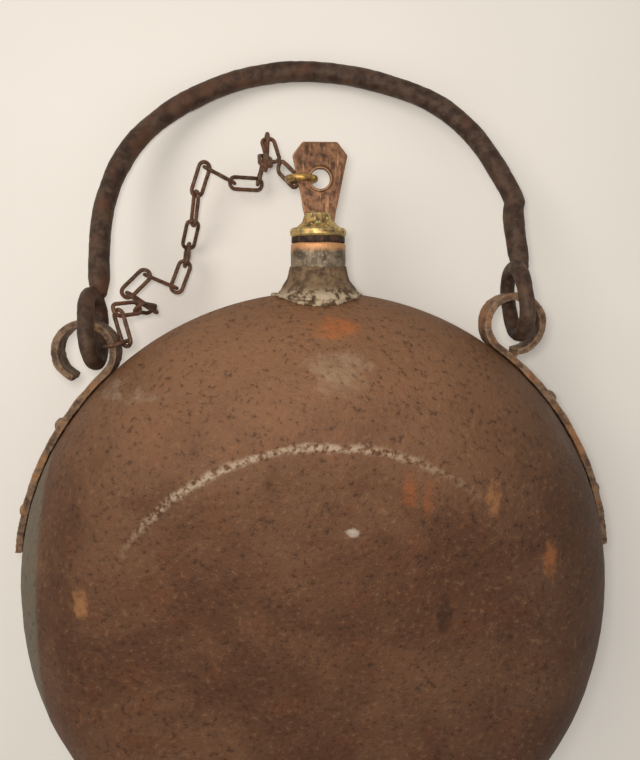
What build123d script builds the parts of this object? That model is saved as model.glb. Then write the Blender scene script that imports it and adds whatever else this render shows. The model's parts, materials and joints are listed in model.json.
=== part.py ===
"""Round iron canteen with a riveted bail handle and a screw stopper on a chain.

The canteen lies on its back.  X runs across the body, Y runs toward the neck and
Z runs out of the front face.  The origin is the centre of the flat disc of the
back, on the surface that the canteen lies on.  All lengths are in millimetres.
"""

from build123d import *
import os
from math import acos, cos, radians, sin

# ---- Driving dimensions ------------------------------------------------------

# Body: two dished shells that meet at a seam half way up.
BODY_RADIUS = 128.6
BODY_CENTRE_Y = 21.8
HALF_DEPTH = 52.0
FRONT_FACE_RADIUS = 89.0
FRONT_FACE_Y = 7.0
BACK_FACE_RADIUS = 94.0
BACK_FACE_Y = 0.0
FACE_CROWN = 2.5  # the front face bulges by this much
SHELL_WALL = 1.2
SHOULDER_POWER = 1.7
SHOULDER_STEPS = (0, 18, 36, 54, 68, 80)  # degrees round the shoulder's curve
SEAM_HOOP_HEIGHT = 8.0
SEAM_HOOP_WALL = 1.2
SEAM_HOOP_GAP = 0.7

# Neck, solder fillet, washer and stopper, all on an axis along Y.
NECK_RADIUS = 11.5
NECK_BORE = 9.7
NECK_FOOT = 144.5
NECK_LIP = 170.4
SOLDER_TOP = 161.0
SOLDER_RADIUS = 17.6
SOLDER_FOOT = 144.0
WASHER_RADIUS = 11.2
WASHER_THICKNESS = 2.4
WASHER_GAP = 0.05
FLANGE_RADIUS = 11.7
FLANGE_THICKNESS = 3.6
SHANK_RADIUS = 9.0
SHANK_LENGTH = 15.0
BOSS_RADIUS = 9.4
BOSS_TOP_RADIUS = 5.6
BOSS_HEIGHT = 6.0

# Thumb tab of the stopper, with the hole for the ring.
TAB_CENTRE_X = 0.7
TAB_THICKNESS = 2.6
TAB_TOP = 211.0
TAB_TOP_HALF = 7.1
TAB_CORNER = 205.6
TAB_CORNER_HALF = 11.3
TAB_WAIST = 182.0
TAB_WAIST_HALF = 6.4
TAB_HOLE_X = 0.8
TAB_HOLE_Y = 196.4
TAB_HOLE_RADIUS = 4.1

# Brass ring through the tab's hole.
RING_CENTRE_X = -6.9
RING_RADIUS = 5.6
RING_WIRE = 1.4

# Straps: flat iron, riveted to the side and curled into an eye at the top.
STRAP_THICKNESS = 3.0
STRAP_WIDTH = 11.0
STRAP_GAP = 0.2
EYE_OUTER = 13.4
EYE_LEFT_ANGLE = 133.1  # from the body's centre, anticlockwise from +X
EYE_RIGHT_ANGLE = 53.8
STRAP_LEFT_END = 172.3
STRAP_RIGHT_END = 6.7
EYE_LEFT_SWEEP = 292.0
EYE_RIGHT_SWEEP = 318.0

# Rivets: a domed head outside, a clinched head inside.
RIVET_SHANK = 1.7
RIVET_HEAD = 3.3
RIVET_HEAD_HEIGHT = 2.3
RIVET_CLINCH = 2.7
RIVET_CLINCH_HEIGHT = 1.1
RIVET_CLINCH_GAP = 0.5
RIVETS_LEFT = (146.5, 164.5)
RIVETS_RIGHT = (38.8, 17.9)

# Bail: a round iron rod, drawn thinner where it is bent into its end loops.
BAIL_ROD = 4.5
BAIL_LOOP_ROD = 3.3
BAIL_LEAN = 23.2  # degrees below level, the crown rests on the table
BAIL_TAPER = 8.0
LOOP_HALF_LENGTH = 14.4
LOOP_HALF_WIDTH = 10.6
LOOP_HANG = 1.2  # the loops' middles hang this far below the pivots
LEFT_LOOP_SHIFT = 3.8  # the loops hang to the right of the eyes' middles
RIGHT_LOOP_SHIFT = 2.5
PIVOT_ABOVE_EYE = 10.6
LEFT_ROD_SHIFT = 2.0  # the rod meets each loop right of the loop's middle
RIGHT_ROD_SHIFT = 4.0
# Centre line of the arch: across from the middle, and out from the pivots.
BAIL_ARCH = (
    (-86.2, 53.0),
    (-73.1, 85.5),
    (-42.4, 110.0),
    (-0.4, 120.4),
    (48.7, 109.4),
    (81.7, 82.6),
    (96.3, 46.0),
)

# Wire tie round the left eye, where the chain starts.
TIE_WIRE = 0.85
TIE_HALF_LENGTH = 7.8
TIE_HALF_WIDTH = 4.0
TIE_ANGLE = 14.0  # where it sits on the eye
TIE_SHIFT = 0.95  # it hangs outward from the middle of the eye's bar

# Chain: oval wire links.
LINK_LENGTH = 17.5
LINK_WIDTH = 7.2
LINK_WIRE = 0.9
LINK_HOOK = 2.1  # how far the end of one link reaches past the end of the next
# Each link from the tie to the one beside the ring's own link:
# heading from +X, climb, and turn about its own length, all in degrees.
CHAIN_ROUTE = (
    (105, -5, -35),
    (5, -60, 160),
    (-25, -75, 25),
    (145, 5, 90),
    (45, -10, 15),
    (-25, -25, 85),
    (70, -15, 195),
    (95, -55, 120),
    (70, 35, 20),
    (80, 15, 120),
    (70, 5, 35),
    (-25, -25, 95),
    (0, -20, 5),
    (75, -5, 100),
    (-85, 65, -20),
    (85, 20, 100),
    (-75, 40, -10),
)
# The ring's own link, from where it hangs on the ring's wire.
RING_LINK = (130, -40, 140)
RING_LINK_HANGS_AT = 240.0  # degrees round the ring from +X toward +Z
RING_HOOK = 2.6

os.makedirs("parts", exist_ok=True)


# ---- Helpers -----------------------------------------------------------------

NECK_PLANE = Plane(origin=(0, 0, HALF_DEPTH), x_dir=(1, 0, 0), z_dir=(0, 1, 0))


def save(name, shape):
    """Write one node, and say how big it is."""
    shape.label = name
    export_step(shape, f"parts/{name}.step")
    print(f"{name}: {shape.volume:.1f} mm3")


def revolved_about_neck(profile):
    """Solid of revolution about the neck's axis from (radius, height along Y) points."""
    outline = Polyline(*[(r, 0, y) for r, y in profile], close=True)
    turned = revolve(make_face(outline), axis=Axis.Z)
    return NECK_PLANE.location * turned


def on_body(radius, angle):
    """A point at the seam's height, at a radius and angle about the body's axis."""
    return Vector(
        radius * cos(radians(angle)),
        BODY_CENTRE_Y + radius * sin(radians(angle)),
        HALF_DEPTH,
    )


def torus_at(centre, axis, major, minor):
    """A ring of round wire about an axis."""
    return Plane(origin=centre, z_dir=axis).location * Torus(major, minor)


def oval_link(half_length, half_width, wire):
    """A closed oval of round wire in the XY plane, long along X."""
    path = SlotOverall(2 * half_length, 2 * half_width).face().outer_wire()
    start = Plane(origin=(0, half_width, 0), z_dir=(1, 0, 0))
    return sweep(start * Circle(wire), path=path)


# ---- Body --------------------------------------------------------------------


def shoulder_point(step):
    """How far out (1 to 0) and how far up (0 to 1) the shoulder is at a step."""
    last = radians(SHOULDER_STEPS[-1])
    power = 2 / SHOULDER_POWER
    out_end = cos(last) ** power
    up_end = sin(last) ** power
    out = (cos(radians(step)) ** power - out_end) / (1 - out_end)
    return out, sin(radians(step)) ** power / up_end


def dish(side, inset):
    """Solid dish from the seam to the face, on the +1 or -1 side of the seam."""
    face_radius = FRONT_FACE_RADIUS if side > 0 else BACK_FACE_RADIUS
    face_y = FRONT_FACE_Y if side > 0 else BACK_FACE_Y
    sections = []
    for step in SHOULDER_STEPS:
        out, up = shoulder_point(step)
        radius = face_radius + (BODY_RADIUS - face_radius) * out - inset
        height = HALF_DEPTH + side * (HALF_DEPTH - inset) * up
        centre = face_y + (BODY_CENTRE_Y - face_y) * out
        sections.append(Plane(origin=(0, centre, height)) * Circle(radius))
    return loft(sections)


def face_crown(inset):
    """Shallow crown on the front face."""
    base = 2 * HALF_DEPTH - inset
    radius = FRONT_FACE_RADIUS - inset
    arc = ThreePointArc(
        (radius, 0, base),
        (radius / 2, 0, base + FACE_CROWN * 0.75),
        (0, 0, base + FACE_CROWN),
    )
    close = Polyline((0, 0, base + FACE_CROWN), (0, 0, base), (radius, 0, base))
    crown = revolve(make_face(Curve() + [arc, close]), axis=Axis.Z)
    return Pos(0, FRONT_FACE_Y, 0) * crown


def rivet(angle):
    """One rivet, along the radius at an angle about the body's axis."""
    outer = BODY_RADIUS + STRAP_GAP + STRAP_THICKNESS
    inner = BODY_RADIUS - SHELL_WALL - RIVET_CLINCH_GAP
    dome_radius = (RIVET_HEAD**2 + RIVET_HEAD_HEIGHT**2) / (2 * RIVET_HEAD_HEIGHT)
    centre = outer + RIVET_HEAD_HEIGHT - dome_radius
    tip = outer + RIVET_HEAD_HEIGHT
    knee = dome_radius * cos(0.5 * acos((outer - centre) / dome_radius)) + centre
    knee_out = (dome_radius**2 - (knee - centre) ** 2) ** 0.5
    low = inner - RIVET_CLINCH_HEIGHT
    edge = Polyline(
        (0, 0, tip),
        (0, 0, low),
        (RIVET_CLINCH * 0.7, 0, low),
        (RIVET_CLINCH, 0, low + RIVET_CLINCH_HEIGHT * 0.5),
        (RIVET_CLINCH, 0, inner),
        (RIVET_SHANK, 0, inner),
        (RIVET_SHANK, 0, outer),
        (RIVET_HEAD, 0, outer),
    )
    dome = ThreePointArc((RIVET_HEAD, 0, outer), (knee_out, 0, knee), (0, 0, tip))
    turned = revolve(make_face(Curve() + [edge, dome]), axis=Axis.Z)
    outward = on_body(1, angle) - on_body(0, angle)
    return Plane(origin=on_body(0, angle), z_dir=outward).location * turned


def rivet_hole(angle):
    """The hole that a rivet's shank fills in the strap and the shell."""
    outward = on_body(1, angle) - on_body(0, angle)
    plane = Plane(origin=on_body(BODY_RADIUS - 8, angle), z_dir=outward)
    drill = Cylinder(RIVET_SHANK, 20, align=(Align.CENTER, Align.CENTER, Align.MIN))
    return plane.location * drill


def make_body():
    """Both shells and the hoop inside the seam, with holes for the neck and rivets."""
    cuts = [rivet_hole(angle) for angle in RIVETS_LEFT + RIVETS_RIGHT]
    bore = Cylinder(NECK_RADIUS, 60, align=(Align.CENTER, Align.CENTER, Align.MIN))
    cuts.append(NECK_PLANE.location * Pos(0, 0, BODY_CENTRE_Y + 80) * bore)
    front_inside = dish(1, SHELL_WALL) + face_crown(SHELL_WALL)
    front = (dish(1, 0) + face_crown(0)) - front_inside
    back = dish(-1, 0) - dish(-1, SHELL_WALL)
    hoop_radius = BODY_RADIUS - SHELL_WALL - SEAM_HOOP_GAP
    hoop = Cylinder(hoop_radius, SEAM_HOOP_HEIGHT)
    hoop -= Cylinder(hoop_radius - SEAM_HOOP_WALL, SEAM_HOOP_HEIGHT)
    hoop = Pos(0, BODY_CENTRE_Y, HALF_DEPTH) * hoop
    clinches = [rivet(angle) for angle in RIVETS_LEFT + RIVETS_RIGHT]
    for cut in cuts:
        front -= cut
        back -= cut
        hoop -= cut
    for clinch in clinches:
        hoop -= clinch
    return front, back, hoop


# ---- Neck and stopper --------------------------------------------------------


def make_neck():
    """Plain tube that stands in the top of the body, its lip eased."""
    return revolved_about_neck(
        [
            (NECK_BORE, NECK_FOOT),
            (NECK_RADIUS, NECK_FOOT),
            (NECK_RADIUS, NECK_LIP - 0.6),
            (NECK_RADIUS - 0.6, NECK_LIP),
            (NECK_BORE + 0.3, NECK_LIP),
            (NECK_BORE, NECK_LIP - 0.3),
        ]
    )


def make_solder():
    """Concave fillet of solder between the neck and the body."""
    top = (NECK_RADIUS + 0.3, 0, SOLDER_TOP)
    foot = (SOLDER_RADIUS, 0, BODY_CENTRE_Y + BODY_RADIUS - 1.0)
    middle = (NECK_RADIUS + 1.9, 0, SOLDER_TOP - 5.6)
    edge = Polyline(
        foot,
        (SOLDER_RADIUS, 0, SOLDER_FOOT),
        (NECK_RADIUS, 0, SOLDER_FOOT),
        (NECK_RADIUS, 0, SOLDER_TOP),
        top,
    )
    fillet_ring = revolve(make_face(Curve() + [edge, ThreePointArc(top, middle, foot)]), axis=Axis.Z)
    return NECK_PLANE.location * fillet_ring - dish(1, 0) - dish(-1, 0)


def make_tab():
    """Thumb plate with clipped top corners, a waist and a hole."""
    outline = [
        (TAB_TOP_HALF, TAB_TOP),
        (TAB_CORNER_HALF, TAB_CORNER),
        (TAB_WAIST_HALF, TAB_WAIST),
        (BOSS_TOP_RADIUS, NECK_LIP + WASHER_THICKNESS + FLANGE_THICKNESS + 0.5),
    ]
    left = [(-x, y) for x, y in reversed(outline)]
    points = [(TAB_CENTRE_X + x, y) for x, y in outline + left]
    plate = make_face(Polyline(*points, close=True))
    corners = plate.vertices().filter_by(lambda v: v.Y > TAB_WAIST + 1)
    plate = fillet(corners, 1.2)
    plate -= Pos(TAB_HOLE_X, TAB_HOLE_Y) * Circle(TAB_HOLE_RADIUS)
    solid = extrude(plate, TAB_THICKNESS / 2, both=True)
    return Pos(0, 0, HALF_DEPTH) * solid


def make_plug(tab):
    """Flange, boss and shank of the stopper, slotted for the tab."""
    seat = NECK_LIP + WASHER_THICKNESS + WASHER_GAP
    top = seat + FLANGE_THICKNESS
    body = revolved_about_neck(
        [
            (0, seat - SHANK_LENGTH),
            (SHANK_RADIUS - 1.2, seat - SHANK_LENGTH),
            (SHANK_RADIUS, seat - SHANK_LENGTH + 1.2),
            (SHANK_RADIUS, seat),
            (FLANGE_RADIUS - 0.7, seat),
            (FLANGE_RADIUS, seat + 0.9),
            (FLANGE_RADIUS, top - 0.9),
            (FLANGE_RADIUS - 0.7, top),
            (BOSS_RADIUS, top),
            (BOSS_TOP_RADIUS + 1.0, top + BOSS_HEIGHT * 0.45),
            (BOSS_TOP_RADIUS, top + BOSS_HEIGHT),
            (0, top + BOSS_HEIGHT),
        ]
    )
    return body - tab


def make_washer():
    """Leather washer that the flange presses on the lip."""
    low = NECK_LIP + WASHER_GAP
    high = low + WASHER_THICKNESS - WASHER_GAP
    inner = SHANK_RADIUS + 0.1
    return revolved_about_neck(
        [(inner, low), (WASHER_RADIUS, low), (WASHER_RADIUS, high), (inner, high)]
    )


def make_ring():
    """Brass ring through the tab's hole and round its left edge."""
    centre = (RING_CENTRE_X, TAB_HOLE_Y, HALF_DEPTH)
    return torus_at(centre, (0, 1, 0), RING_RADIUS, RING_WIRE)


# ---- Straps, eyes and rivets -------------------------------------------------


def ring_sector(centre, inner, outer, start, sweep_angle):
    """Flat sector of a ring in the XY plane, swept anticlockwise from a start angle."""
    def at(radius, angle):
        return (
            centre[0] + radius * cos(radians(angle)),
            centre[1] + radius * sin(radians(angle)),
        )

    middle = start + sweep_angle / 2
    end = start + sweep_angle
    rim = ThreePointArc(at(outer, start), at(outer, middle), at(outer, end))
    hole = ThreePointArc(at(inner, end), at(inner, middle), at(inner, start))
    sides = [Line(at(outer, end), at(inner, end)), Line(at(inner, start), at(outer, start))]
    return make_face(Curve() + [rim, sides[0], hole, sides[1]])


def eye_centre(angle):
    """Centre of the eye that touches the body at an angle."""
    return on_body(BODY_RADIUS + STRAP_GAP + EYE_OUTER, angle)


def make_strap(eye_angle, end_angle, eye_sweep, rivets):
    """Strap along the body's side, curled outward into an eye."""
    inner = BODY_RADIUS + STRAP_GAP
    outer = inner + STRAP_THICKNESS
    centre = eye_centre(eye_angle)
    low, high = sorted((eye_angle, end_angle))
    band = ring_sector((0, BODY_CENTRE_Y), inner, outer, low, high - low)
    towards_body = eye_angle + 180
    first = towards_body if end_angle > eye_angle else towards_body - eye_sweep
    curl = ring_sector((centre.X, centre.Y), EYE_OUTER - STRAP_THICKNESS, EYE_OUTER, first, eye_sweep)
    strap = extrude(band + curl, STRAP_WIDTH / 2, both=True)
    strap = Pos(0, 0, HALF_DEPTH) * strap
    for angle in rivets:
        strap -= rivet_hole(angle)
    return strap


def pivot_point(angle, shift):
    """Middle of the bar of an eye where a bail loop hangs."""
    return eye_centre(angle) + bail_axis() * shift + bail_up() * PIVOT_ABOVE_EYE


def bail_axis():
    """Direction from the left eye to the right one."""
    return (eye_centre(EYE_RIGHT_ANGLE) - eye_centre(EYE_LEFT_ANGLE)).normalized()


def bail_up():
    """Direction square to the bail's axis, toward the neck, level with the seam."""
    axis = bail_axis()
    return Vector(-axis.Y, axis.X, 0)


# ---- Bail --------------------------------------------------------------------


def end_loop(across):
    """Closed loop of thinner rod about the pivot, square to the bail's axis."""
    loop = oval_link(LOOP_HALF_LENGTH, LOOP_HALF_WIDTH, BAIL_LOOP_ROD)
    upright = Plane(origin=(across, -LOOP_HANG, 0), x_dir=(0, 1, 0), z_dir=(1, 0, 0))
    return upright.location * loop


def taper_to_loop(start):
    """Cone where the rod is drawn down to the thinner rod of its loop."""
    length = BAIL_TAPER
    upright = Plane(origin=start, x_dir=(1, 0, 0), z_dir=(0, -1, 0))
    cone = Cone(BAIL_ROD, BAIL_LOOP_ROD, length, align=(Align.CENTER, Align.CENTER, Align.MIN))
    return upright.location * cone


def make_bail():
    """Arched rod with a loop at each end, leaning back from the eyes to the table."""
    left = pivot_point(EYE_LEFT_ANGLE, LEFT_LOOP_SHIFT)
    right = pivot_point(EYE_RIGHT_ANGLE, RIGHT_LOOP_SHIFT)
    half_span = (right - left).length / 2
    foot = LOOP_HALF_LENGTH - LOOP_HANG + BAIL_TAPER
    starts = [(-half_span + LEFT_ROD_SHIFT, foot), (half_span + RIGHT_ROD_SHIFT, foot)]
    points = [starts[0], *BAIL_ARCH, starts[1]]
    arch = Spline(*[(x, y, 0) for x, y in points], tangents=[(0, 1, 0), (0, -1, 0)])
    rod = sweep(Plane(origin=arch @ 0, z_dir=arch % 0) * Circle(BAIL_ROD), path=arch)
    bail = rod
    for side, start in ((-1, arch @ 0), (1, arch @ 1)):
        bail += taper_to_loop(start)
        bail += end_loop(side * half_span)
    lean = radians(BAIL_LEAN)
    up = bail_up() * cos(lean) - Vector(0, 0, sin(lean))
    normal = bail_axis().cross(up)
    frame = Plane(origin=(left + right) / 2, x_dir=bail_axis(), z_dir=normal)
    return frame.location * bail


# ---- Chain -------------------------------------------------------------------


def link_directions(heading, climb, turn):
    """Long direction of a link, and the direction across it in its own plane."""
    h, c, t = radians(heading), radians(climb), radians(turn)
    along = Vector(cos(c) * cos(h), cos(c) * sin(h), sin(c))
    level = Vector(-sin(h), cos(h), 0)
    across = level * cos(t) + along.cross(level) * sin(t)
    return along, across


def place_link(near, along, across):
    """A link whose near end's wire is centred at a point."""
    half_length = LINK_LENGTH / 2 - LINK_WIRE
    half_width = LINK_WIDTH / 2 - LINK_WIRE
    link = oval_link(half_length, half_width, LINK_WIRE)
    centre = near + along * half_length
    frame = Plane(origin=centre, x_dir=along, z_dir=along.cross(across))
    return frame.location * link


def tie_middle():
    """Middle of the wire tie, and the direction outward from the left eye's centre."""
    outward = Vector(cos(radians(TIE_ANGLE)), sin(radians(TIE_ANGLE)), 0)
    reach = EYE_OUTER - STRAP_THICKNESS / 2 + TIE_SHIFT
    return eye_centre(EYE_LEFT_ANGLE) + outward * reach, outward


def make_tie():
    """Oval of wire round the left eye's bar, square to the bar."""
    middle, outward = tie_middle()
    frame = Plane(origin=middle, x_dir=(0, 0, 1), z_dir=Vector(0, 0, 1).cross(outward))
    return frame.location * oval_link(TIE_HALF_LENGTH, TIE_HALF_WIDTH, TIE_WIRE)


def make_chain():
    """Links from the tie to the one beside the ring's own link, nose to tail."""
    middle, outward = tie_middle()
    hook = middle + outward * TIE_HALF_WIDTH
    wire_run = Vector(0, 0, 1)
    previous = None
    links = []
    for route in CHAIN_ROUTE:
        along, across = link_directions(*route)
        slack = along
        if previous is not None:
            fold = previous.cross(along)
            if abs(wire_run.dot(fold)) < abs(across.dot(fold)):
                slack = previous
        near = hook - slack * LINK_HOOK
        links.append(place_link(near, along, across))
        hook = near + along * (LINK_LENGTH - 2 * LINK_WIRE)
        wire_run = across
        previous = along
    return links


def make_ring_link():
    """The link that hangs on the back of the brass ring."""
    angle = radians(RING_LINK_HANGS_AT)
    hangs_on = Vector(
        RING_CENTRE_X + RING_RADIUS * cos(angle),
        TAB_HOLE_Y,
        HALF_DEPTH + RING_RADIUS * sin(angle),
    )
    along, across = link_directions(*RING_LINK)
    return place_link(hangs_on - along * RING_HOOK, along, across)


# ---- Build -------------------------------------------------------------------


def main():
    """Write every node."""
    front, back, hoop = make_body()
    save("front_shell", front)
    save("back_shell", back)
    save("seam_hoop", hoop)
    save("neck_tube", make_neck())
    save("neck_solder", make_solder())
    save("stopper_washer", make_washer())
    tab = make_tab()
    save("stopper_tab", tab)
    save("stopper_plug", make_plug(tab))
    save("stopper_ring", make_ring())
    save("strap_left", make_strap(EYE_LEFT_ANGLE, STRAP_LEFT_END, EYE_LEFT_SWEEP, RIVETS_LEFT))
    save("strap_right", make_strap(EYE_RIGHT_ANGLE, STRAP_RIGHT_END, EYE_RIGHT_SWEEP, RIVETS_RIGHT))
    save("rivets_left", Compound(children=[rivet(angle) for angle in RIVETS_LEFT]))
    save("rivets_right", Compound(children=[rivet(angle) for angle in RIVETS_RIGHT]))
    save("bail", make_bail())
    save("chain_tie", make_tie())
    for number, link in enumerate(make_chain() + [make_ring_link()], start=1):
        save(f"chain_link_{number:02d}", link)


main()
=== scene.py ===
"""Looks of the round iron canteen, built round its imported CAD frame."""

import json
import math
import random

import bpy
import numpy as np
from mathutils import Matrix, Vector, noise


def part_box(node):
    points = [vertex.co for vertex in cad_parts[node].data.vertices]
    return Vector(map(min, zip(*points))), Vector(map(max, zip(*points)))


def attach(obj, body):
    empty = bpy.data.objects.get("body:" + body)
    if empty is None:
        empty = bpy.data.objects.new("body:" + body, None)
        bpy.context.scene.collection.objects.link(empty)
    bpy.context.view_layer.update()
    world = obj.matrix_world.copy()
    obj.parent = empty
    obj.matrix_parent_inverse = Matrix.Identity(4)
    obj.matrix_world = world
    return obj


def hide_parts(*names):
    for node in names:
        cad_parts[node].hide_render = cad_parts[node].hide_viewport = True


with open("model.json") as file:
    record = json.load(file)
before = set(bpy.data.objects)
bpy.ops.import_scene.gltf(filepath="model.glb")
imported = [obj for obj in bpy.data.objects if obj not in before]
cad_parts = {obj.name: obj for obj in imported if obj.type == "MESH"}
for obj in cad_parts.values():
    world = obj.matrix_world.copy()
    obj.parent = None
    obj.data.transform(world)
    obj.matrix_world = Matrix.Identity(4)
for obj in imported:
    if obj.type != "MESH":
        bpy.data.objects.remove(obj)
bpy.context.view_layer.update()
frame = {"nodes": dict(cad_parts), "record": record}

MM = 0.001

# ---- Driving sizes, in metres, beside those that the frame gives ---------------

FRONT_FACE_RADIUS = 89 * MM
FRONT_FACE_Y = 7 * MM
BACK_FACE_RADIUS = 94 * MM
BACK_FACE_Y = 0 * MM
FACE_CROWN = 2.5 * MM
SHELL_WALL = 1.2 * MM
SHOULDER_POWER = 1.7
SHOULDER_END = math.radians(80)

SHELL_LOW, SHELL_HIGH = (Vector(c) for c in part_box("front_shell"))
BODY_RADIUS = (SHELL_HIGH.x - SHELL_LOW.x) / 2
BODY_CENTRE_Y = SHELL_LOW.y + BODY_RADIUS
SEAM = SHELL_LOW.z
HALF_DEPTH = SEAM
NECK_LOW, NECK_HIGH = (Vector(c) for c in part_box("neck_tube"))
NECK_RADIUS = (NECK_HIGH.x - NECK_LOW.x) / 2
TAB_LOW, TAB_HIGH = (Vector(c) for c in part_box("stopper_tab"))

random.seed(7)


# Camera: above the neck, tilted a little toward the foot of the body.
CAMERA_PLACE = Vector((-15.9, 154.0, 330.0)) * MM
CAMERA_TILT_X = 0.148
CAMERA_TILT_Y = 0.0595
SENSOR_WIDTH = 36.0
FOCAL_SHARE = 1.01875  # focal length over sensor width

# The tab's hole, the burr round it, and the lumps of the solder's crust.
TAB_HOLE = (0.8 * MM, 196.4 * MM)
TAB_BURR_RADIUS = 4.6 * MM
TAB_BURR_WIRE = 0.55 * MM
CRUST_LUMPS = 46


# ---- Mesh helpers --------------------------------------------------------------


def new_piece(name, verts, faces, smooth=True):
    """A mesh object from points and faces."""
    mesh = bpy.data.meshes.new(name)
    mesh.from_pydata([tuple(v) for v in verts], [], faces)
    mesh.update()
    mesh.polygons.foreach_set("use_smooth", [smooth] * len(mesh.polygons))
    piece = bpy.data.objects.new(name, mesh)
    bpy.context.scene.collection.objects.link(piece)
    return piece


def apply_modifiers(piece):
    """Turn a piece's modifiers into its mesh."""
    graph = bpy.context.evaluated_depsgraph_get()
    mesh = bpy.data.meshes.new_from_object(piece.evaluated_get(graph))
    piece.modifiers.clear()
    piece.data = mesh
    mesh.polygons.foreach_set("use_smooth", [True] * len(mesh.polygons))


def points_of(piece):
    """The piece's points and normals as arrays."""
    mesh = piece.data
    count = len(mesh.vertices)
    points = np.empty(count * 3, np.float32)
    mesh.vertices.foreach_get("co", points)
    normals = np.empty(count * 3, np.float32)
    mesh.vertex_normals.foreach_get("vector", normals)
    return points.reshape(-1, 3).astype(float), normals.reshape(-1, 3).astype(float)


def set_points(piece, points):
    """Move the piece's points."""
    piece.data.vertices.foreach_set("co", points.astype(np.float32).ravel())
    piece.data.update()


def lumps(points, size, seed):
    """Smooth noise from -1 to 1 at each point, with lumps of about the given size."""
    offset = Vector((seed * 17.3, seed * 5.1, seed * 9.7))
    return np.array([noise.noise(Vector(p) / size + offset) for p in points])


def roughen(piece, *layers):
    """Push the surface in and out along its normals by layers of (depth, size, seed)."""
    points, normals = points_of(piece)
    push = np.zeros(len(points))
    for depth, size, seed in layers:
        push += depth * lumps(points, size, seed)
    set_points(piece, points + normals * push[:, None])


def copy_of(node, name):
    """A new piece with the mesh of a CAD node."""
    piece = bpy.data.objects.new(name, frame["nodes"][node].data.copy())
    bpy.context.scene.collection.objects.link(piece)
    piece.data.materials.clear()
    return piece


def remesh(piece, voxel, rounds=2):
    """Give a piece one even skin, with its edges rounded over."""
    modifier = piece.modifiers.new("skin", "REMESH")
    modifier.mode = "VOXEL"
    modifier.voxel_size = voxel
    soften = piece.modifiers.new("soften", "SMOOTH")
    soften.factor = 0.5
    soften.iterations = rounds
    apply_modifiers(piece)


def worn(node, voxel, layers, rounds=2):
    """A worn copy of a CAD node: edges rounded, surface lumpy."""
    piece = copy_of(node, node + "_worn")
    remesh(piece, voxel, rounds)
    roughen(piece, *layers)
    return piece


def dress(piece, material, body, slot, *nodes):
    """Give a piece its material, its body and the CAD nodes that it stands for."""
    piece.data.materials.clear()
    piece.data.materials.append(material)
    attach(piece, body)
    if nodes:
        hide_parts(*nodes)


# ---- Material helpers ----------------------------------------------------------


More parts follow.
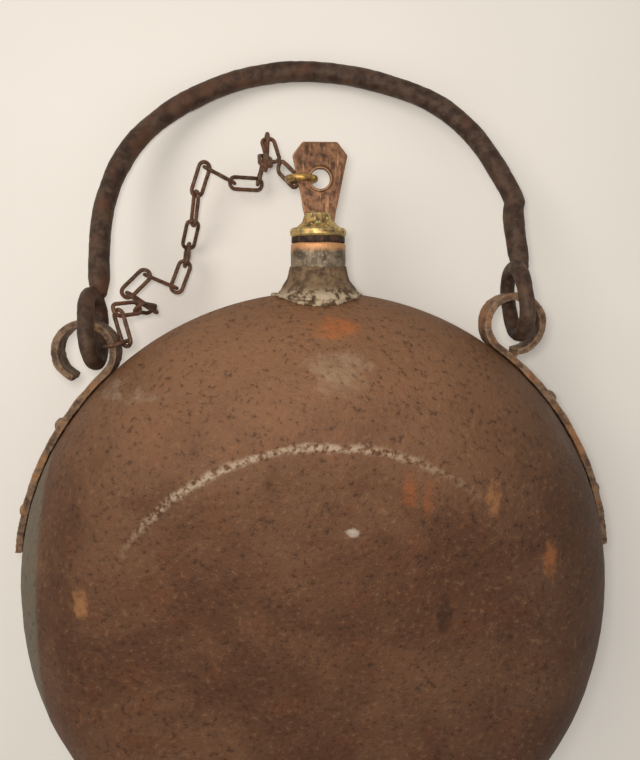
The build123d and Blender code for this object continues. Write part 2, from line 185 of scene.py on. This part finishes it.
class Surface:
    """A material under construction, on object coordinates in metres."""

    def __init__(self, name):
        self.material = bpy.data.materials.new(name)
        self.material.use_nodes = True
        self.tree = self.material.node_tree
        self.tree.nodes.clear()
        self.shader = self.tree.nodes.new("ShaderNodeBsdfPrincipled")
        out = self.tree.nodes.new("ShaderNodeOutputMaterial")
        self.tree.links.new(self.shader.outputs[0], out.inputs["Surface"])
        self.place = self.tree.nodes.new("ShaderNodeTexCoord").outputs["Object"]

    def wire(self, source, socket):
        """Link a value, or set a constant."""
        if isinstance(source, bpy.types.NodeSocket):
            self.tree.links.new(source, socket)
        else:
            socket.default_value = source

    def math(self, kind, a, b=0.0, clamp=False):
        """One sum on values."""
        node = self.tree.nodes.new("ShaderNodeMath")
        node.operation = kind
        node.use_clamp = clamp
        self.wire(a, node.inputs[0])
        self.wire(b, node.inputs[1])
        return node.outputs[0]

    def noise(self, size, detail=4.0, rough=0.6, place=None, distortion=0.0):
        """Noise from 0 to 1, with lumps of a size in metres."""
        node = self.tree.nodes.new("ShaderNodeTexNoise")
        self.wire(place or self.place, node.inputs["Vector"])
        node.inputs["Scale"].default_value = 1 / size
        node.inputs["Detail"].default_value = detail
        node.inputs["Roughness"].default_value = rough
        node.inputs["Distortion"].default_value = distortion
        return node.outputs["Fac"]

    def pits(self, size, smooth=True):
        """Distance to the nearest of scattered points, 0 at a point."""
        node = self.tree.nodes.new("ShaderNodeTexVoronoi")
        node.feature = "SMOOTH_F1" if smooth else "F1"
        self.wire(self.place, node.inputs["Vector"])
        node.inputs["Scale"].default_value = 1 / size
        return node.outputs["Distance"]

    def ramp(self, value, low, high):
        """0 below low, 1 above high, smooth between."""
        node = self.tree.nodes.new("ShaderNodeMapRange")
        node.interpolation_type = "SMOOTHSTEP"
        self.wire(value, node.inputs["Value"])
        node.inputs["From Min"].default_value = low
        node.inputs["From Max"].default_value = high
        return node.outputs["Result"]

    def mix(self, amount, a, b):
        """Blend two colours."""
        node = self.tree.nodes.new("ShaderNodeMix")
        node.data_type = "RGBA"
        self.wire(amount, node.inputs["Factor"])
        self.wire(colour(a), node.inputs[6])
        self.wire(colour(b), node.inputs[7])
        return node.outputs[2]

    def stretched(self, scale):
        """The place, scaled by a different amount along each axis."""
        node = self.tree.nodes.new("ShaderNodeMapping")
        self.wire(self.place, node.inputs["Vector"])
        node.inputs["Scale"].default_value = scale
        return node.outputs["Vector"]

    def near(self, centre, reach, ragged=0.0, size=0.006):
        """1 at a place, falling to 0 at reach (x, y, z) from it, with a ragged edge."""
        node = self.tree.nodes.new("ShaderNodeVectorMath")
        node.operation = "SUBTRACT"
        self.wire(self.place, node.inputs[0])
        node.inputs[1].default_value = centre
        scale = self.tree.nodes.new("ShaderNodeVectorMath")
        scale.operation = "DIVIDE"
        self.wire(node.outputs[0], scale.inputs[0])
        scale.inputs[1].default_value = reach
        length = self.tree.nodes.new("ShaderNodeVectorMath")
        length.operation = "LENGTH"
        self.wire(scale.outputs[0], length.inputs[0])
        distance = length.outputs["Value"]
        if ragged:
            shift = self.math("SUBTRACT", self.noise(size, 5, 0.7), 0.5)
            distance = self.math("ADD", distance, self.math("MULTIPLY", shift, ragged))
        return self.ramp(self.math("SUBTRACT", 1.0, distance), 0.0, 0.6)

    def along(self, axis):
        """One coordinate of the place: 0, 1 or 2 for X, Y or Z."""
        node = self.tree.nodes.new("ShaderNodeSeparateXYZ")
        self.wire(self.place, node.inputs[0])
        return node.outputs[axis]

    def edges(self, low=0.5, high=0.56):
        """1 on convex edges, which wear bright."""
        node = self.tree.nodes.new("ShaderNodeNewGeometry")
        return self.ramp(node.outputs["Pointiness"], low, high)

    def times(self, *values):
        """The product of several masks."""
        result = values[0]
        for value in values[1:]:
            result = self.math("MULTIPLY", result, value)
        return result

    def bump(self, height, depth, below=None):
        """A bump of a height from 0 to 1, scaled to a depth in metres."""
        node = self.tree.nodes.new("ShaderNodeBump")
        node.inputs["Distance"].default_value = depth
        self.wire(height, node.inputs["Height"])
        if below:
            self.wire(below, node.inputs["Normal"])
        return node.outputs["Normal"]

    def finish(self, base, rough, normal, metallic=0.0):
        """Wire up the shader, with the low gloss of a dusty surface."""
        self.shader.inputs["Specular IOR Level"].default_value = 0.25
        self.wire(base, self.shader.inputs["Base Color"])
        self.wire(rough, self.shader.inputs["Roughness"])
        self.wire(normal, self.shader.inputs["Normal"])
        self.wire(metallic, self.shader.inputs["Metallic"])
        return self.material


def colour(value):
    """A colour socket, or a display colour from 0 to 255 made linear."""
    if isinstance(value, bpy.types.NodeSocket):
        return value
    return tuple((c / 255) ** 2.2 for c in value) + (1.0,)


# ---- Materials -----------------------------------------------------------------


def body_rust():
    """Pebbled old rust over sheet iron, red-brown on the face, with painted light: tan toward the neck,
    painted shade on the right side, a cool painted shade down the left side, and a painted highlight along
    the face's top edge.
    """
    s = Surface("body_rust")
    pebble = s.noise(2.2 * MM, 3, 0.62)
    grain = s.noise(0.8 * MM, 3, 0.6)
    cloud = s.noise(38 * MM, 5, 0.62, distortion=0.4)
    patch = s.noise(14 * MM, 6, 0.66)
    base = s.mix(s.ramp(cloud, 0.36, 0.66), (79, 51, 34), (99, 69, 49))
    base = s.mix(s.times(s.ramp(patch, 0.5, 0.68), 0.6), base, (94, 57, 36))
    # Painted light: the rust is mixed paler and tan toward the neck, where the lamp falls brightest.
    upper = s.ramp(s.math("ADD", s.along(1), s.math("MULTIPLY", patch, 0.05)), 0.08, 0.16)
    base = s.mix(s.times(upper, 0.6), base, (136, 99, 72))
    # Painted shade: the rust is mixed darker toward the right side, away from the lamp.
    painted_shade_right = s.ramp(s.math("ADD", s.along(0), s.math("MULTIPLY", cloud, 0.05)), 0.05, 0.15)
    base = s.mix(s.times(painted_shade_right, 0.5), base, (59, 43, 33))
    # Painted cool shade: the left edge of the body is mixed grey, where only cool room light reaches.
    painted_cool_shade_left = s.ramp(s.math("ADD", s.along(0), s.math("MULTIPLY", patch, 0.006)), -0.106, -0.109)
    base = s.mix(s.times(painted_cool_shade_left, 0.75), base, (103, 97, 83))
    base = s.mix(s.times(s.ramp(pebble, 0.54, 0.76), 0.35), base, (140, 107, 79))
    base = s.mix(s.times(s.ramp(pebble, 0.46, 0.3), 0.6), base, (43, 29, 20))
    base = s.mix(s.times(s.ramp(grain, 0.6, 0.78), 0.25), base, (164, 130, 100))
    for centre, reach, tint, amount in BODY_MARKS:
        broken = s.ramp(patch, 0.34, 0.56)
        base = s.mix(s.times(s.near(centre, reach, 1.8, 0.004), broken, amount), base, tint)
    # Painted highlight along the top edge of the front face, broken up by the pebbles.
    base = s.mix(s.times(crease_highlight_mask(s, patch), s.ramp(pebble, 0.4, 0.58), 0.6), base, (183, 166, 142))
    height = s.math("ADD", s.math("MULTIPLY", pebble, 0.75), s.math("MULTIPLY", grain, 0.25))
    normal = s.bump(height, 0.9 * MM, s.bump(patch, 1.2 * MM))
    rough = s.math("ADD", 0.52, s.math("MULTIPLY", pebble, 0.25))
    return s.finish(base, rough, normal, 0.05)


# Marks on the body: place, reach, tint and strength.
BODY_MARKS = (
    ((0.0047, 0.1371, 0.080), (0.013, 0.006, 0.012), (168, 94, 47), 0.50),
    ((0.0057, 0.1236, 0.092), (0.016, 0.007, 0.014), (159, 138, 113), 0.37),
    ((0.0055, 0.1170, 0.096), (0.012, 0.005, 0.014), (150, 126, 102), 0.28),
    ((0.0302, 0.0800, 0.1045), (0.004, 0.008, 0.010), (147, 79, 41), 0.50),
    ((0.0375, 0.0754, 0.1046), (0.003, 0.009, 0.010), (156, 86, 45), 0.46),
    ((0.0620, 0.0757, 0.1031), (0.004, 0.008, 0.010), (166, 113, 68), 0.50),
    ((0.0853, 0.0503, 0.1019), (0.004, 0.009, 0.010), (162, 100, 55), 0.46),
    ((-0.0902, 0.0380, 0.1019), (0.004, 0.008, 0.010), (176, 123, 76), 0.46),
    ((0.0441, 0.0305, 0.1057), (0.004, 0.009, 0.010), (34, 22, 17), 0.53),
    ((0.0093, 0.0642, 0.1054), (0.003, 0.002, 0.010), (200, 189, 174), 0.53),
    ((-0.0700, 0.1120, 0.0650), (0.022, 0.006, 0.030), (159, 144, 123), 0.34),
    ((0.0980, 0.0900, 0.0600), (0.010, 0.030, 0.030), (115, 102, 89), 0.31),
)


def crease_highlight_mask(s, patch):
    """1 along the top edge of the front face, where a painted highlight goes."""
    offset = s.tree.nodes.new("ShaderNodeVectorMath")
    offset.operation = "SUBTRACT"
    s.wire(s.place, offset.inputs[0])
    offset.inputs[1].default_value = (0, FRONT_FACE_Y, 0)
    flat = s.tree.nodes.new("ShaderNodeVectorMath")
    flat.operation = "MULTIPLY"
    s.wire(offset.outputs[0], flat.inputs[0])
    flat.inputs[1].default_value = (1, 1, 0)
    length = s.tree.nodes.new("ShaderNodeVectorMath")
    length.operation = "LENGTH"
    s.wire(flat.outputs[0], length.inputs[0])
    wander = s.math("MULTIPLY", s.math("SUBTRACT", patch, 0.5), 0.006)
    radius = s.math("ADD", length.outputs["Value"], wander)
    away = s.math("ABSOLUTE", s.math("SUBTRACT", radius, FRONT_FACE_RADIUS))
    ring = s.math("SUBTRACT", 1.0, s.ramp(away, 0.0003, 0.0024))
    front = s.ramp(s.along(2), 0.085, 0.095)
    top = s.ramp(s.along(1), 0.05, 0.085)
    fading = s.math("SUBTRACT", 1.0, s.ramp(s.along(0), 0.0, 0.07))
    return s.times(ring, front, top, fading)


def dark_iron(name, base, light, streak, size=4.0, bump=0.5, metallic=0.35):
    """Old forged iron: dark scale, rubbed edges and reddish streaks."""
    s = Surface(name)
    scale = s.noise(size * MM, 5, 0.6)
    fine = s.noise(0.9 * MM, 4, 0.65)
    cloud = s.noise(13 * MM, 4, 0.55)
    mixed = s.mix(s.ramp(scale, 0.38, 0.64), base, light)
    mixed = s.mix(s.times(s.ramp(cloud, 0.5, 0.64), 0.6), mixed, streak)
    mixed = s.mix(s.times(s.ramp(fine, 0.56, 0.72), 0.4), mixed, light)
    mixed = s.mix(s.times(s.edges(), 0.4), mixed, [c * 1.3 for c in light])
    height = s.math("ADD", s.math("MULTIPLY", scale, 0.6), s.math("MULTIPLY", fine, 0.4))
    rough = s.math("ADD", 0.42, s.math("MULTIPLY", fine, 0.3))
    return s.finish(mixed, rough, s.bump(height, bump * MM), metallic)


def neck_iron():
    """Tinned iron gone grey, with a copper-coloured worn lip and pale patches."""
    s = Surface("neck_iron")
    cloud = s.noise(5 * MM, 5, 0.62)
    fine = s.noise(0.8 * MM, 4, 0.6)
    base = s.mix(s.ramp(cloud, 0.4, 0.62), (87, 77, 64), (139, 124, 104))
    lip = s.ramp(s.math("ADD", s.along(1), s.math("MULTIPLY", cloud, 0.003)), 0.1675, 0.1705)
    base = s.mix(s.times(lip, 0.85), base, (209, 151, 104))
    foot = s.ramp(s.math("ADD", s.along(1), s.math("MULTIPLY", cloud, 0.006)), 0.1625, 0.158)
    base = s.mix(s.times(foot, s.ramp(cloud, 0.42, 0.55), 0.8), base, (225, 204, 173))
    base = s.mix(s.times(s.ramp(fine, 0.58, 0.7), 0.5), base, (201, 185, 157))
    rough = s.math("ADD", 0.36, s.math("MULTIPLY", cloud, 0.25))
    return s.finish(base, rough, s.bump(fine, 0.25 * MM), 0.5)


def old_solder():
    """Dull solder under rust dust, crusted pale at its foot."""
    s = Surface("old_solder")
    cloud = s.noise(4 * MM, 6, 0.65)
    fine = s.noise(0.7 * MM, 4, 0.65)
    base = s.mix(s.ramp(cloud, 0.38, 0.6), (82, 64, 49), (122, 99, 75))
    distance = s.math("ADD", s.along(1), s.math("MULTIPLY", cloud, 0.008))
    crust = s.ramp(distance, 0.1575, 0.153)
    base = s.mix(s.times(crust, s.ramp(cloud, 0.44, 0.56), 0.85), base, (184, 166, 140))
    base = s.mix(s.times(s.ramp(fine, 0.55, 0.7), 0.4), base, (158, 134, 105))
    rough = s.math("ADD", 0.5, s.math("MULTIPLY", fine, 0.25))
    return s.finish(base, rough, s.bump(s.math("ADD", cloud, fine), 0.5 * MM), 0.15)


def old_brass(name, base, light, dark, metallic=0.75, size=3.0):
    """Brass or copper gone brown, rubbed bright on its edges."""
    s = Surface(name)
    cloud = s.noise(size * MM, 5, 0.62)
    fine = s.noise(0.5 * MM, 4, 0.65)
    scratch = s.noise(1.2 * MM, 4, 0.6, s.stretched((1.0, 0.14, 1.0)))
    mixed = s.mix(s.ramp(cloud, 0.36, 0.62), dark, base)
    mixed = s.mix(s.times(s.ramp(scratch, 0.54, 0.7), 0.5), mixed, light)
    mixed = s.mix(s.times(s.edges(), 0.8), mixed, light)
    height = s.math("ADD", s.math("MULTIPLY", scratch, 0.5), s.math("MULTIPLY", fine, 0.5))
    rough = s.math("ADD", 0.3, s.math("MULTIPLY", cloud, 0.3))
    return s.finish(mixed, rough, s.bump(height, 0.12 * MM), metallic)


def hard_leather():
    """Oiled leather gone hard and black."""
    s = Surface("hard_leather")
    cell = s.pits(0.7 * MM)
    cloud = s.noise(2.5 * MM, 4, 0.6)
    base = s.mix(s.ramp(cloud, 0.4, 0.62), (42, 30, 24), (74, 54, 42))
    rough = s.math("ADD", 0.5, s.math("MULTIPLY", cloud, 0.3))
    return s.finish(base, rough, s.bump(cell, 0.2 * MM), 0.0)


def pale_floor():
    """Matt white table top, slightly mottled."""
    s = Surface("pale_floor")
    cloud = s.noise(90 * MM, 3, 0.5)
    fine = s.noise(1.5 * MM, 3, 0.5)
    base = s.mix(cloud, (236, 230, 222), (243, 238, 231))
    return s.finish(base, 0.85, s.bump(fine, 0.03 * MM), 0.0)


# ---- Body ----------------------------------------------------------------------


def face_of(side):
    """Radius and centre height of the front face (+1) or the back face (-1)."""
    if side > 0:
        return FRONT_FACE_RADIUS, FRONT_FACE_Y
    return BACK_FACE_RADIUS, BACK_FACE_Y


def shell_profile(distance, side, inset):
    """Radius, height and centre of the shell at 0 (face's middle) to 1 (seam)."""
    face_share = 0.6
    face_radius, face_y = face_of(side)
    if distance < face_share:
        radius = face_radius * distance / face_share
        crown = FACE_CROWN * (1 - (radius / face_radius) ** 2) if side > 0 else 0.0
        return max(radius - inset, 0), SEAM + side * (HALF_DEPTH + crown - inset), face_y
    step = SHOULDER_END * (1 - (distance - face_share) / (1 - face_share))
    power = 2 / SHOULDER_POWER
    out_end = math.cos(SHOULDER_END) ** power
    up_end = math.sin(SHOULDER_END) ** power
    out = (math.cos(step) ** power - out_end) / (1 - out_end)
    up = (math.sin(step) ** power) / up_end
    radius = face_radius + (BODY_RADIUS - face_radius) * out - inset
    centre = face_y + (BODY_CENTRE_Y - face_y) * out
    return radius, SEAM + side * (HALF_DEPTH - inset) * up, centre


def shell_point(distance, angle, side, inset=0.0):
    """A point on the shell."""
    radius, height, centre = shell_profile(distance, side, inset)
    return (radius * math.cos(angle), centre + radius * math.sin(angle), height)


def disc_grid(count):
    """Even grid over a unit disc: (distance, angle) of each point, row by row."""
    spots = []
    for row in range(count + 1):
        for column in range(count + 1):
            u = 2 * column / count - 1
            v = 2 * row / count - 1
            if abs(u) < 1e-9 and abs(v) < 1e-9:
                spots.append((0.0, 0.0))
            elif abs(u) >= abs(v):
                spots.append((abs(u), math.pi / 4 * v / u + (math.pi if u < 0 else 0)))
            else:
                spots.append((abs(v), math.pi / 2 - math.pi / 4 * u / v + (math.pi if v < 0 else 0)))
    return spots


def rim_of(count):
    """Indices of the grid's outer points, in order round the rim."""
    row = count + 1
    bottom = list(range(0, count))
    right = [count + row * i for i in range(0, count)]
    top = [row * count + count - i for i in range(0, count)]
    left = [row * (count - i) for i in range(0, count)]
    return bottom + right + top + left


def make_shell(name, side, count, layers):
    """One shell: a fine grid outside, a plain skin inside, and a hole for the neck."""
    spots = disc_grid(count)
    outer = np.array([shell_point(d, a, side) for d, a in spots])
    faces = []
    row = count + 1
    for i in range(count):
        for j in range(count):
            corner = i * row + j
            quad = (corner, corner + 1, corner + row + 1, corner + row)
            faces.append(quad if side > 0 else quad[::-1])
    piece = new_piece(name, outer, faces)
    dent_shell(piece, side, layers)
    points, _ = points_of(piece)
    rim = rim_of(count)
    verts = [tuple(p) for p in points]
    previous = rim
    for distance in (1.0, 0.95, 0.88, 0.8, 0.72, 0.64, 0.58, 0.4, 0.15):
        start = len(verts)
        verts += [shell_point(distance, spots[i][1], side, SHELL_WALL) for i in rim]
        ring = list(range(start, start + len(rim)))
        for k in range(len(rim)):
            after = (k + 1) % len(rim)
            quad = (previous[k], ring[k], ring[after], previous[after])
            faces.append(quad if side > 0 else quad[::-1])
        previous = ring
    verts.append(shell_point(0, 0, side, SHELL_WALL))
    hub = len(verts) - 1
    for k in range(len(rim)):
        triangle = (previous[k], hub, previous[(k + 1) % len(rim)])
        faces.append(triangle if side > 0 else triangle[::-1])
    bpy.data.objects.remove(piece)
    kept = [f for f in faces if not in_neck_hole(np.mean([verts[i] for i in f], axis=0))]
    return new_piece(name, verts, kept)


def in_neck_hole(point):
    """Whether a point of the shell is where the neck goes through."""
    across = math.hypot(point[0], point[2] - SEAM)
    return point[1] > 0.1 and across < NECK_RADIUS - 1.5 * MM


def dent_shell(piece, side, layers):
    """Soften the face's edge, add dents and pebbled rust, and keep the seam true."""
    points, normals = points_of(piece)
    face_radius, face_y = face_of(side)
    level = np.abs(points[:, 2] - SEAM)
    free = np.clip((level - 1.2 * MM) / (6 * MM), 0, 1)
    push = np.zeros(len(points))
    for depth, size, seed in layers:
        push += depth * lumps(points, size, seed)
    radius = np.hypot(points[:, 0], points[:, 1] - face_y)
    on_face = level > HALF_DEPTH * 0.9
    push -= 0.9 * MM * np.exp(-(((radius - face_radius) / (5.5 * MM)) ** 2)) * on_face
    if side > 0:
        push -= 0.9 * MM * np.clip((face_radius - 6 * MM - radius) / (10 * MM), 0, 1) * on_face
    else:
        push = np.maximum(-np.abs(push), -1.0 * MM)
    groove = 0.35 * MM * np.exp(-((level / (0.9 * MM)) ** 2))
    points = points + normals * (push * free - groove)[:, None]
    if side < 0:
        points[:, 2] = np.maximum(points[:, 2], 0.0)
    set_points(piece, points)


# ---- Neck and stopper ----------------------------------------------------------


def make_solder():
    """The CAD fillet with a crust of lumps round its foot, under one skin."""
    piece = copy_of("neck_solder", "neck_solder_worn")
    low, high = (Vector(c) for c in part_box("neck_solder"))
    reach = (high.x - low.x) / 2
    parts = [piece]
    for k in range(CRUST_LUMPS):
        angle = 2 * math.pi * (k + random.uniform(-0.3, 0.3)) / CRUST_LUMPS
        out = reach + random.uniform(-1.6, 1.0) * MM
        x, z = out * math.cos(angle), out * math.sin(angle)
        y = BODY_CENTRE_Y + math.sqrt(max(BODY_RADIUS**2 - x * x, 0)) - 0.012 * (z / reach) ** 2 * 0.25
        size = random.uniform(0.9, 2.0) * MM
        bpy.ops.mesh.primitive_ico_sphere_add(subdivisions=2, radius=size, location=(x, y, SEAM + z))
        lump = bpy.context.object
        lump.scale = (1.2, 0.5, 1.2)
        parts.append(lump)
    with bpy.context.temp_override(
        active_object=piece, object=piece, selected_objects=parts, selected_editable_objects=parts
    ):
        bpy.ops.object.join()
    remesh(piece, 0.45 * MM, 3)
    roughen(piece, (0.45 * MM, 4 * MM, 3), (0.2 * MM, 1.4 * MM, 4))
    return piece


def make_neck():
    """The neck tube with small dents and two pits."""
    piece = worn("neck_tube", 0.35 * MM, [(0.12 * MM, 5 * MM, 5), (0.05 * MM, 1.2 * MM, 6)], 1)
    points, normals = points_of(piece)
    push = np.zeros(len(points))
    for x, y, width in ((0.0015, 0.1625, 0.9 * MM), (0.0026, 0.1640, 0.7 * MM)):
        away = np.hypot(points[:, 0] - x, points[:, 1] - y)
        push -= 0.6 * MM * np.exp(-((away / width) ** 2)) * (points[:, 2] > SEAM)
    outside = np.hypot(points[:, 0], points[:, 2] - SEAM) > NECK_RADIUS - 0.9 * MM
    set_points(piece, points + normals * (push * outside)[:, None])
    return piece


def make_tab():
    """The thumb tab with a raised burr round its hole."""
    piece = copy_of("stopper_tab", "stopper_tab_worn")
    middle = (TAB_LOW.z + TAB_HIGH.z) / 2
    parts = [piece]
    for side in (-1, 1):
        bpy.ops.mesh.primitive_torus_add(
            major_radius=TAB_BURR_RADIUS,
            minor_radius=TAB_BURR_WIRE,
            major_segments=64,
            minor_segments=12,
            location=(*TAB_HOLE, middle + side * 1.2 * MM),
        )
        parts.append(bpy.context.object)
    with bpy.context.temp_override(
        active_object=piece, object=piece, selected_objects=parts, selected_editable_objects=parts
    ):
        bpy.ops.object.join()
    remesh(piece, 0.28 * MM, 2)
    roughen(piece, (0.16 * MM, 7 * MM, 8), (0.06 * MM, 1.5 * MM, 9))
    return piece


# ---- Stage ---------------------------------------------------------------------


def add_light(name, place, aim, size, power, tint):
    """A round soft light."""
    data = bpy.data.lights.new(name, "AREA")
    data.shape = "DISK"
    data.size = size
    data.energy = power
    data.color = tint
    lamp = bpy.data.objects.new(name, data)
    lamp.location = place
    lamp.rotation_euler = (Vector(aim) - Vector(place)).to_track_quat("-Z", "Y").to_euler()
    bpy.context.scene.collection.objects.link(lamp)


def make_stage(material):
    """Floor, world and lights."""
    floor = new_piece("floor", [(-3, -3, 0), (3, -3, 0), (3, 3, 0), (-3, 3, 0)], [(0, 1, 2, 3)])
    floor.data.materials.append(material)
    world = bpy.data.worlds.new("studio")
    world.use_nodes = True
    back = world.node_tree.nodes["Background"]
    back.inputs["Color"].default_value = (1.0, 0.965, 0.92, 1)
    back.inputs["Strength"].default_value = 0.5
    bpy.context.scene.world = world
    bpy.context.scene.view_settings.view_transform = "Standard"
    add_light("key", (-0.026, 0.166, 0.33), (0.0, 0.12, 0), 0.03, 0.36, (1.0, 0.95, 0.88))
    add_light("soft_box", (-0.6, 0.45, 0.9), (0, 0.05, 0), 0.7, 4.2, (1.0, 0.96, 0.9))


def make_camera():
    """Camera above the neck, looking down and slightly toward the foot of the body."""
    data = bpy.data.cameras.new("camera")
    data.sensor_fit = "HORIZONTAL"
    data.sensor_width = SENSOR_WIDTH
    data.lens = SENSOR_WIDTH * FOCAL_SHARE
    data.clip_start = 0.01
    camera = bpy.data.objects.new("camera", data)
    tilt_x, tilt_y = CAMERA_TILT_X, CAMERA_TILT_Y
    level = math.cos(tilt_y)
    forward = Vector((math.sin(tilt_y), -math.sin(tilt_x) * level, -math.cos(tilt_x) * level))
    right = Vector((math.cos(tilt_y), 0, math.sin(tilt_y)))
    up = right.cross(forward)
    matrix = Matrix((right, up, -forward)).transposed().to_4x4()
    matrix.translation = CAMERA_PLACE
    camera.matrix_world = matrix
    bpy.context.scene.collection.objects.link(camera)
    bpy.context.scene.camera = camera


# ---- Put it together -----------------------------------------------------------


def body_of(node):
    """The body that a CAD node rides on."""
    for body, nodes in frame["record"]["behaviour"]["bodies"].items():
        if node in nodes:
            return body
    raise ValueError(node)


def main():
    rust = body_rust()
    front = make_shell(
        "front_shell_skin", 1, 250, [(0.55 * MM, 55 * MM, 1), (0.25 * MM, 18 * MM, 2), (0.12 * MM, 4 * MM, 3)]
    )
    dress(front, rust, "canteen_body", "rusty_iron", "front_shell")
    back = make_shell("back_shell_skin", -1, 170, [(0.4 * MM, 55 * MM, 11), (0.15 * MM, 12 * MM, 12)])
    dress(back, rust, "canteen_body", "rusty_iron", "back_shell")
    frame["nodes"]["seam_hoop"].data.materials.clear()
    frame["nodes"]["seam_hoop"].data.materials.append(rust)

    dress(make_neck(), neck_iron(), "canteen_body", "neck_iron", "neck_tube")
    dress(make_solder(), old_solder(), "canteen_body", "solder", "neck_solder")

    strap_iron = dark_iron("strap_iron", (76, 58, 46), (128, 104, 82), (162, 112, 72), 3.5, 0.5, 0.1)
    for node in ("strap_left", "strap_right", "rivets_left", "rivets_right"):
        voxel = 0.5 * MM if node.startswith("strap") else 0.35 * MM
        piece = worn(node, voxel, [(0.3 * MM, 6 * MM, 21), (0.12 * MM, 1.6 * MM, 22)])
        dress(piece, strap_iron, "canteen_body", "strap_iron", node)

    bail_iron = dark_iron("bail_iron", (54, 40, 33), (84, 66, 54), (92, 62, 46), 5, 0.4, 0.15)
    piece = worn("bail", 0.7 * MM, [(0.35 * MM, 14 * MM, 31), (0.16 * MM, 3 * MM, 32)])
    dress(piece, bail_iron, "bail", "bail_iron", "bail")

    copper = old_brass("worn_copper", (118, 86, 65), (175, 129, 92), (68, 50, 41))
    brass = old_brass("flange_brass", (199, 162, 104), (240, 237, 160), (115, 91, 64))
    dress(make_tab(), copper, "stopper", "stopper_brass", "stopper_tab")
    plug = worn("stopper_plug", 0.3 * MM, [(0.12 * MM, 5 * MM, 41), (0.05 * MM, 1.2 * MM, 42)], 1)
    dress(plug, brass, "stopper", "stopper_brass", "stopper_plug")
    ring = worn("stopper_ring", 0.22 * MM, [(0.08 * MM, 2 * MM, 43)], 1)
    ring_metal = old_brass("ring_brass", (194, 150, 87), (240, 211, 138), (108, 77, 47))
    dress(ring, ring_metal, "ring", "ring_brass", "stopper_ring")
    washer = worn("stopper_washer", 0.3 * MM, [(0.12 * MM, 3 * MM, 44)], 1)
    dress(washer, hard_leather(), "washer", "leather", "stopper_washer")

    chain_rust = dark_iron("chain_rust", (62, 42, 34), (106, 80, 62), (116, 74, 52), 2.0, 0.25, 0.15)
    for node in frame["nodes"]:
        if node.startswith("chain_"):
            seed = sum(ord(c) for c in node) % 97
            piece = worn(node, 0.24 * MM, [(0.09 * MM, 2.2 * MM, seed)], 1)
            dress(piece, chain_rust, body_of(node), "chain_iron", node)

    make_stage(pale_floor())
    make_camera()


main()
